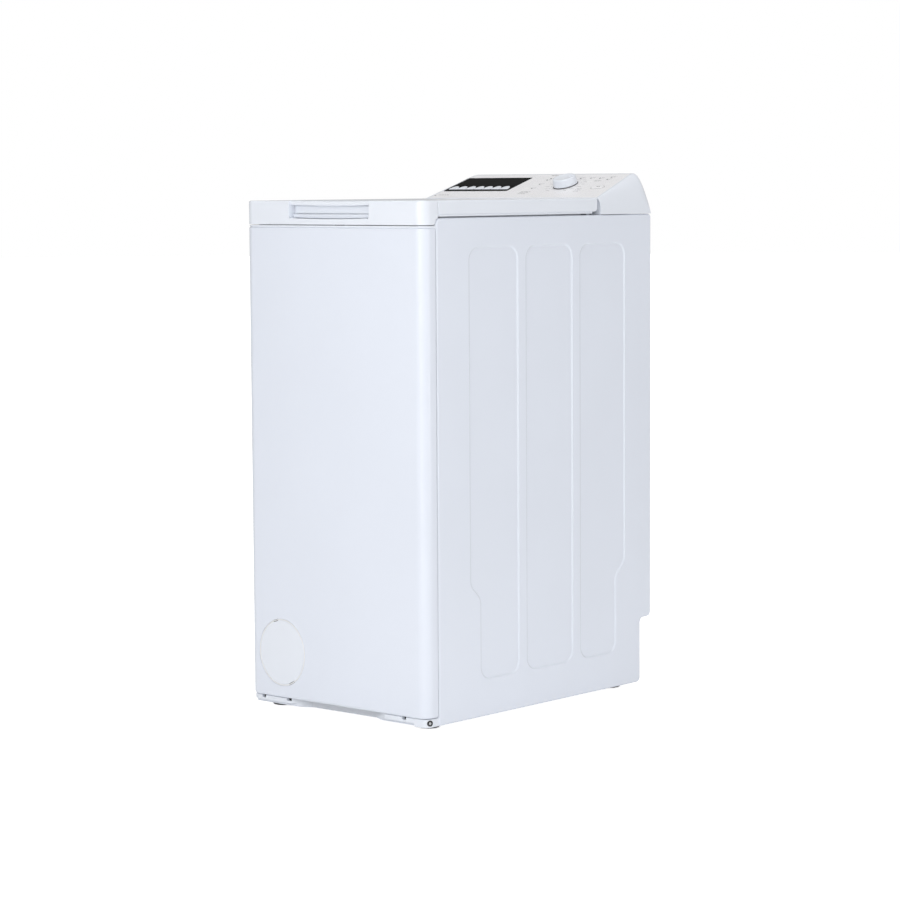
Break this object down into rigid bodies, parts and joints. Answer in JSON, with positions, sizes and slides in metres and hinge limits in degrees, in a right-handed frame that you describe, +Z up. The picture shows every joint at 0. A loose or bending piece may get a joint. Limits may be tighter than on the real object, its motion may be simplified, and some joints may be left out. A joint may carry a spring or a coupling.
{
  "type": "top load washing machine",
  "caption": "Narrow upright washing machine loaded from above, with a hinged lid, a sloping control console behind it, a horizontal drum in a sprung tub and a round filter cover.",
  "frame": {"origin": "middle of the base, on the floor the feet stand on", "axes": "+Z up; +X to the right and -Y towards the user, as seen from the front"},
  "size_m": [0.4, 0.6, 0.9],
  "materials": {
    "cabinet_enamel": "smooth bluish-white enamel",
    "galvanised_steel": "galvanised sheet and cast parts",
    "white_plastic": "smooth white moulding",
    "fascia_plastic": "fine satin, warm light grey",
    "display_black": "glossy black window",
    "circuit_board": "green laminate",
    "grey_plastic": "glass-filled grey moulding",
    "black_plastic": "black moulding",
    "rubber_seal": "matt grey rubber",
    "stainless_steel": "brushed stainless",
    "concrete": "cast concrete"
  },
  "bodies": {
    "cabinet": {"front_panel": "cabinet_enamel", "side_panel_left": "cabinet_enamel", "side_panel_right": "cabinet_enamel", "rear_panel": "galvanised_steel", "base_frame": "white_plastic", "top_frame": "white_plastic", "loading_funnel": "white_plastic", "console_housing": "white_plastic", "control_fascia": "fascia_plastic", "display_window": "display_black", "control_board": "circuit_board", "door_lock": "black_plastic", "inlet_valve": "grey_plastic", "drain_outlet": "grey_plastic", "cable_gland": "black_plastic", "pump_housing": "grey_plastic", "drain_pump": "black_plastic", "damper_cylinder_front": "black_plastic", "damper_cylinder_rear": "black_plastic"},
    "lid": {"lid_shell": "white_plastic", "lid_liner": "white_plastic", "lid_latch_hook": "black_plastic", "detergent_dispenser": "grey_plastic"},
    "tub": {"tub_left": "grey_plastic", "tub_right": "grey_plastic", "bearing_left": "stainless_steel", "bearing_right": "stainless_steel", "counterweight": "concrete", "heater": "stainless_steel", "motor": "galvanised_steel", "drive_belt": "rubber_seal", "damper_rod_front": "stainless_steel", "damper_rod_rear": "stainless_steel", "spring_left": "stainless_steel", "spring_right": "stainless_steel", "bellows": "rubber_seal"},
    "drum": {"drum_shell": "stainless_steel", "drum_pulley": "galvanised_steel", "drum_shaft_left": "galvanised_steel", "drum_shaft_right": "galvanised_steel"},
    "flap_front": {"drum_flap_front": "stainless_steel"},
    "flap_rear": {"drum_flap_rear": "stainless_steel"},
    "flap_catch": {"flap_latch": "stainless_steel"},
    "motor_rotor": {"motor_pulley": "galvanised_steel"},
    "knob": {"program_knob": "white_plastic"},
    "start_key": {"start_button": "fascia_plastic"},
    "pump_rotor": {"pump_impeller": "black_plastic"},
    "filter_door": {"filter_cover": "white_plastic"},
    "filter_screw": {"filter_plug": "grey_plastic"},
    "option_key_1": {"option_button_1": "white_plastic"},
    "option_key_2": {"option_button_2": "white_plastic"},
    "option_key_3": {"option_button_3": "white_plastic"},
    "option_key_4": {"option_button_4": "white_plastic"},
    "option_key_5": {"option_button_5": "white_plastic"},
    "option_key_6": {"option_button_6": "white_plastic"},
    "option_key_7": {"option_button_7": "white_plastic"},
    "front_left_foot": {"foot_front_left": "black_plastic"},
    "front_right_foot": {"foot_front_right": "black_plastic"},
    "rear_left_foot": {"foot_rear_left": "black_plastic"},
    "rear_right_foot": {"foot_rear_right": "black_plastic"}
  },
  "joints": [
    {"name": "lid_hinge", "type": "hinge", "parent": "cabinet", "child": "lid", "pos_m": [0, 0.141, 0.845], "axis": [-1, 0, 0], "range_deg": [0, 90]},
    {"name": "tub_suspension", "type": "slide", "parent": "cabinet", "child": "tub", "axis": [0, 0, 1], "range_m": [-0.01, 0.01], "stiffness_N_per_m": 24000, "springref_m": 0.01609, "deforming": ["spring_left", "spring_right", "bellows"]},
    {"name": "drum_spin", "type": "hinge", "parent": "tub", "child": "drum", "pos_m": [0, -0.03, 0.44], "axis": [1, 0, 0], "continuous": true},
    {"name": "motor_spin", "type": "hinge", "parent": "tub", "child": "motor_rotor", "pos_m": [0, 0.14, 0.16], "axis": [1, 0, 0], "continuous": true},
    {"name": "flap_front_hinge", "type": "hinge", "parent": "drum", "child": "flap_front", "pos_m": [0, -0.125, 0.64009], "axis": [-1, 0, 0], "range_deg": [0, 80], "stiffness_Nm_per_rad": 0.35, "springref_deg": -68.75},
    {"name": "flap_rear_hinge", "type": "hinge", "parent": "drum", "child": "flap_rear", "pos_m": [0, 0.065, 0.64009], "axis": [1, 0, 0], "range_deg": [0, 80], "stiffness_Nm_per_rad": 0.35, "springref_deg": -68.75},
    {"name": "flap_latch_slide", "type": "slide", "parent": "flap_front", "child": "flap_catch", "axis": [0, -1, 0], "range_m": [0, 0.006], "stiffness_N_per_m": 200, "springref_m": -0.003},
    {"name": "program_knob_turn", "type": "hinge", "parent": "cabinet", "child": "knob", "pos_m": [0.0755, 0.21671, 0.87951], "axis": [0, -0.3316, 0.9434], "continuous": true},
    {"name": "option_button_1_press", "type": "slide", "parent": "cabinet", "child": "option_key_1", "axis": [0, 0.3316, -0.9434], "range_m": [0, 0.0015], "stiffness_N_per_m": 800, "springref_m": -0.001},
    {"name": "option_button_2_press", "type": "slide", "parent": "cabinet", "child": "option_key_2", "axis": [0, 0.3316, -0.9434], "range_m": [0, 0.0015], "stiffness_N_per_m": 800, "springref_m": -0.001},
    {"name": "option_button_3_press", "type": "slide", "parent": "cabinet", "child": "option_key_3", "axis": [0, 0.3316, -0.9434], "range_m": [0, 0.0015], "stiffness_N_per_m": 800, "springref_m": -0.001},
    {"name": "option_button_4_press", "type": "slide", "parent": "cabinet", "child": "option_key_4", "axis": [0, 0.3316, -0.9434], "range_m": [0, 0.0015], "stiffness_N_per_m": 800, "springref_m": -0.001},
    {"name": "option_button_5_press", "type": "slide", "parent": "cabinet", "child": "option_key_5", "axis": [0, 0.3316, -0.9434], "range_m": [0, 0.0015], "stiffness_N_per_m": 800, "springref_m": -0.001},
    {"name": "option_button_6_press", "type": "slide", "parent": "cabinet", "child": "option_key_6", "axis": [0, 0.3316, -0.9434], "range_m": [0, 0.0015], "stiffness_N_per_m": 800, "springref_m": -0.001},
    {"name": "option_button_7_press", "type": "slide", "parent": "cabinet", "child": "option_key_7", "axis": [0, 0.3316, -0.9434], "range_m": [0, 0.0015], "stiffness_N_per_m": 800, "springref_m": -0.001},
    {"name": "start_button_press", "type": "slide", "parent": "cabinet", "child": "start_key", "axis": [0, 0.3316, -0.9434], "range_m": [0, 0.0015], "stiffness_N_per_m": 800, "springref_m": -0.001},
    {"name": "filter_cover_pull", "type": "slide", "parent": "cabinet", "child": "filter_door", "axis": [0, -1, 0], "range_m": [0, 0.06]},
    {"name": "filter_plug_turn", "type": "hinge", "parent": "cabinet", "child": "filter_screw", "pos_m": [-0.1245, -0.2875, 0.0983], "axis": [0, -1, 0], "continuous": true},
    {"name": "pump_impeller_spin", "type": "hinge", "parent": "cabinet", "child": "pump_rotor", "pos_m": [-0.1245, -0.2035, 0.0983], "axis": [0, 1, 0], "continuous": true},
    {"name": "foot_front_left_turn", "type": "hinge", "parent": "cabinet", "child": "front_left_foot", "pos_m": [-0.165, -0.255, 0], "axis": [0, 0, 1], "continuous": true},
    {"name": "foot_front_right_turn", "type": "hinge", "parent": "cabinet", "child": "front_right_foot", "pos_m": [0.165, -0.255, 0], "axis": [0, 0, 1], "continuous": true},
    {"name": "foot_rear_left_turn", "type": "hinge", "parent": "cabinet", "child": "rear_left_foot", "pos_m": [-0.165, 0.225, 0], "axis": [0, 0, 1], "continuous": true},
    {"name": "foot_rear_right_turn", "type": "hinge", "parent": "cabinet", "child": "rear_right_foot", "pos_m": [0.165, 0.225, 0], "axis": [0, 0, 1], "continuous": true}
  ],
  "couplings": [
    {"joint": "motor_spin", "follows": "drum_spin", "ratio": 10}
  ]
}
